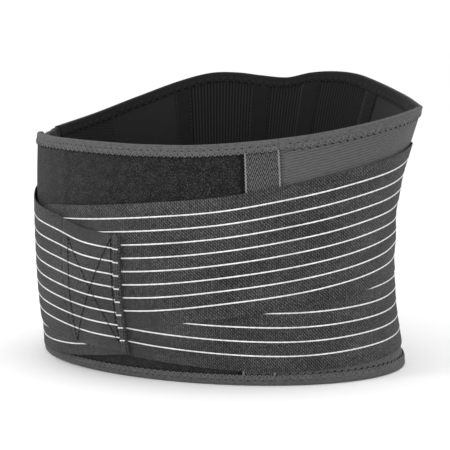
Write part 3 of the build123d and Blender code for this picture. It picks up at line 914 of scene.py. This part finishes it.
for name, start, end, faces, body, top_rim, top_node, bottom_node in BINDINGS:
    for label, rim, inwards, node in (("top", top_rim, -1, top_node), ("bottom", 0.0, 1, bottom_node)):
        edge = start, end, rim, inwards
        settle(binding(f"{label}_edge_{name}", *edge, *faces), body, "binding_tape", node)
        outside, inside = zigzag(*edge, faces[1]), zigzag(*edge, plus(faces[0], -0.1))
        sew(f"{label}_zigzag_{name}", [outside], 0.95, 0.8, "zigzag", body)
        sew(f"{label}_inner_zigzag_{name}", [inside], 0.75, 0.5, "dark_stitch", body)
        # near-black marks in the lip's dents: painted shade
        holes = painted_hole_shades(*edge, faces[1], phase=0.5, depth=8.6, sink=-0.55)
        holes += painted_hole_shades(*edge, faces[1], phase=0.0, depth=4.3, sink=-0.05)
        sew(f"{label}_holes_{name}", holes, 1.3, 0.3, "dark_thread_and_painted_shade", body)

end_left = strip("end_edge_left", LEFT_FRONT_END + 0.1, LEFT_RIM_END, 8, plus(belt_top, -9),
                 *INNER_BINDING, "binding_tape")
settle(end_left, LEFT_FRONT, "binding_tape", "left_front_end_binding")
end_right = strip("end_edge_right", RIGHT_RIM_END, RIGHT_FRONT_END - 0.1, 8, plus(front_rim, -8),
                  *BINDING, "binding_tape")
settle(end_right, RIGHT_FRONT, "binding_tape", "right_front_end_binding")


# ---------------------------------------------------------------- elastic straps with their white yarns
def yarns(name, body, start, end, edges, face, step=2.0, spread=STRIPE_SPREAD):
    """The white yarns woven along a band, one raised thread each."""
    angles = spaced(start, end, step)
    low, high = edges[0](angles), edges[1](angles)
    paths = []
    for share in np.linspace(*spread, STRIPES):
        paths.append(np.stack([angles, low + (high - low) * share, value(face, angles) + 0.05], -1))
    sew(name, paths, 1.05, 0.5, "stripe", body, wobble=0.12)


RIGHT_LOW = plus(right_lift, STRAP_CLEARANCE)
RIGHT_HIGH = plus(right_lift, STRAP_CLEARANCE + STRAP_LAYER)
LEFT_LOW = plus(left_lift, STRAP_CLEARANCE)
LEFT_HIGH = plus(left_lift, STRAP_CLEARANCE + STRAP_LAYER)
RIGHT_RUN = RIGHT_STRAP, RIGHT_STRAP_HEM, STRAP_RIGHT_ROOT
LEFT_RUN = LEFT_STRAP, STRAP_LEFT_ROOT, TAB_STITCH
TAB_RUN = TAB, TAB_STITCH, TAB_HEM
BANDS = [
    # side, layer, (body, start, end), edges, back, yarns' spread, what it lies on, nodes
    ("right", "lower", RIGHT_RUN, RIGHT_LOWER, RIGHT_LOW, STRIPE_SPREAD,
     "anchor_right", ("right_lower_strap", "right_lower_strap_root")),
    ("right", "upper", RIGHT_RUN, RIGHT_UPPER, RIGHT_HIGH, STRIPE_SPREAD,
     "anchor_right", ("right_upper_strap", "right_upper_strap_root")),
    ("left", "lower", LEFT_RUN, LEFT_LOWER, LEFT_LOW, LEFT_LOWER_SPREAD,
     "anchor_left", ("left_lower_strap", "left_lower_strap_root")),
    ("left", "upper", LEFT_RUN, LEFT_UPPER, LEFT_HIGH, STRIPE_SPREAD,
     "anchor_left", ("left_upper_strap", "left_upper_strap_root")),
    ("tab", "lower", TAB_RUN, LEFT_LOWER, LEFT_LOW, LEFT_LOWER_SPREAD, "tab_hooks", ("left_tab_lower",)),
    ("tab", "upper", TAB_RUN, LEFT_UPPER, LEFT_HIGH, STRIPE_SPREAD, "tab_hooks", ("left_tab_upper",)),
]
for side, layer, (body, start, end), edges, lies_at, spread, holder, nodes in BANDS:
    piece = strip(f"{side}_band_{layer}", start, end, *edges, lies_at, plus(lies_at, WEBBING),
                  "elastic_webbing", step=2.5)
    settle(piece, body, "elastic_webbing", *nodes)
    sheet_of(piece, start, end, *edges, holder)
for side, layer, run, edges, lies_at, spread, holder, nodes in BANDS:
    yarns(f"{side}_yarns_{layer}", *run, edges, plus(lies_at, WEBBING), spread=spread)

# the folded hem at the tab's end, and the hem of the right straps under it
HEM = hem_low, hem_top = LEFT_LOWER[0], LEFT_UPPER[1]
hem = strip("tab_fold", TAB_HEM - 0.1, TAB_END, *HEM, HEM_BACK, HEM_FACE, "elastic_webbing", step=1.2)
settle(hem, TAB, "elastic_webbing", "left_tab_hem")
yarns("hem_yarns", TAB, TAB_HEM - 0.1, TAB_END, HEM, HEM_FACE, step=1.0)
right_hem = strip("right_straps_fold", RIGHT_STRAP_TIP, RIGHT_STRAP_HEM - 0.1, 26, 121, 0.8, 3.4,
                  "elastic_webbing")
settle(right_hem, RIGHT_STRAP, "elastic_webbing", "right_strap_end_hem")

# ---------------------------------------------------------------- visible stitching
TAB_FACE = LEFT_LIFT + STRAP_CLEARANCE + STRAP_LAYER + WEBBING


def on_tab(angle, edge, inset, face=TAB_FACE):
    """A point on the tab, inset from its upper or lower edge."""
    return angle, float(edge(angle)) + inset, face


top_left, low_left = on_tab(243, hem_top, -12), on_tab(241.5, hem_low, 11.5)
top_right, low_right = on_tab(262.1, hem_top, -3), on_tab(262.3, hem_low, 9.5)
paths = []
for start, end in (
    (top_left, low_left), (top_left, low_right), (low_left, top_right), (top_right, low_right),
):
    paths += stitch_row(start, end, length=2.6, gap=0.6)
# near black: the stitch's own dark thread, and painted shade of the grooves it sinks into
sew("tab_box_stitch", paths, 1.1, 0.6, "dark_thread_and_painted_shade", TAB)

paths = []
for angle in (263.6, 264.5):
    paths += stitch_row(on_tab(angle, hem_top, -1.5, HEM_FACE), on_tab(angle, hem_low, 1.5, HEM_FACE))
sew("hem_stitch", paths, 0.6, 0.45, "stitch", TAB)

CORD_INSET, CORD_TWIST = 7.2, 2.2


def cord_path(angle, seam, face=0.35, sway=0.14):
    """A twisted cord beside a seam of the casing, from binding to binding."""
    z = np.arange(CORD_INSET, float(belt_top(seam)) - CORD_INSET, 0.5)
    turn = z * 2 * np.pi / CORD_TWIST
    return np.stack([angle + sway * np.sin(turn), z, face + 0.2 * np.cos(turn)], -1)


cords = [cord_path(CASING_END, CASING_END), cord_path(FRONT_SEAM_RIGHT - 0.3, FRONT_SEAM_RIGHT)]
sew("casing_edges", cords, 1.3, 1.2, "edge_cord", RIGHT_FRONT)
# a near-black cord in the gap beside the casing: painted shadow
casing_gap_shadow = cord_path(CASING_END - 1.05, CASING_END, face=0.0, sway=0.0)
sew("casing_gap_shadow", [casing_gap_shadow], 1.6, 0.9, "dark_thread_and_painted_shade", RIGHT_FRONT)

paths = []
for name, middle, half, node in COVERS:
    for side in (-1, 1):
        angle = middle + side * (half - 0.6)
        foot, head = (angle, 9, COVER_TAPE[0]), (angle, float(below_binding(angle)) - 1, COVER_TAPE[0])
        paths += stitch_row(foot, head, lift=-0.25, sink=-0.35)
sew("lining_stitch", paths, 0.6, 0.45, "dark_stitch", ROOT)

# ---------------------------------------------------------------- what still shows of the CAD model
for name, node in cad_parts.items():
    if node.type == "MESH" and "stay" in name:
        node.data.materials.clear()
        node.data.materials.append(MATERIALS["spring_steel"])

# ---------------------------------------------------------------- floor, light and camera, in metres
FLOOR_REACH, FLOOR_DROP = 40.0, 0.0003
corners = [(x * FLOOR_REACH, y * FLOOR_REACH, 0) for x, y in ((-1, -1), (1, -1), (1, 1), (-1, 1))]
floor_mesh = bpy.data.meshes.new("floor")
floor_mesh.from_pydata(corners, [], [(0, 1, 2, 3)])
floor = bpy.data.objects.new("floor", floor_mesh)
floor.location.z = -FLOOR_DROP
bpy.context.scene.collection.objects.link(floor)
white = bpy.data.materials.new("studio_white")
white.use_nodes = True
floor_look = white.node_tree.nodes["Principled BSDF"].inputs
floor_look["Base Color"].default_value = (0.9, 0.9, 0.9, 1)
floor_look["Roughness"].default_value = 1.0
floor_look["Specular IOR Level"].default_value = 0.0
floor_look["Emission Color"].default_value = (1, 1, 1, 1)
floor_look["Emission Strength"].default_value = 0.05
floor_mesh.materials.append(white)


def area_light(name, position, target, size, power):
    light = bpy.data.lights.new(name, "AREA")
    light.shape = "DISK"
    light.size = size
    light.energy = power
    made = bpy.data.objects.new(name, light)
    made.location = position
    made.rotation_euler = (Vector(target) - Vector(position)).to_track_quat("-Z", "Y").to_euler()
    bpy.context.scene.collection.objects.link(made)


area_light("key", (-0.8, -1.4, 1.2), (0, 0, 0.1), 0.5, 7)
area_light("low_right", (0.9, -1.4, 0.4), (0.05, 0, 0.05), 0.8, 7)
area_light("top", (0.1, 0.2, 1.7), (0, 0, 0), 1.0, 3)

world = bpy.data.worlds.new("studio")
bpy.context.scene.world = world
world.use_nodes = True
world.node_tree.nodes["Background"].inputs["Color"].default_value = (1, 1, 1, 1)
world.node_tree.nodes["Background"].inputs["Strength"].default_value = 1.06
bpy.context.scene.view_settings.view_transform = "Standard"

TURN, TILT, DISTANCE = math.radians(28.417), math.radians(6.554), 1.2
LOOK_AT = Vector((0, 0.0166, 0.105))
camera_data = bpy.data.cameras.new("camera")
camera_data.lens = 122.43
camera_data.sensor_width = 36
camera_data.shift_x, camera_data.shift_y = -0.0048, -0.0157
camera = bpy.data.objects.new("camera", camera_data)
backwards = Vector((math.sin(TURN) * math.cos(TILT), -math.cos(TURN) * math.cos(TILT), math.sin(TILT)))
camera.location = LOOK_AT + DISTANCE * backwards
camera.rotation_euler = (-backwards).to_track_quat("-Z", "Y").to_euler()
bpy.context.scene.collection.objects.link(camera)
bpy.context.scene.camera = camera
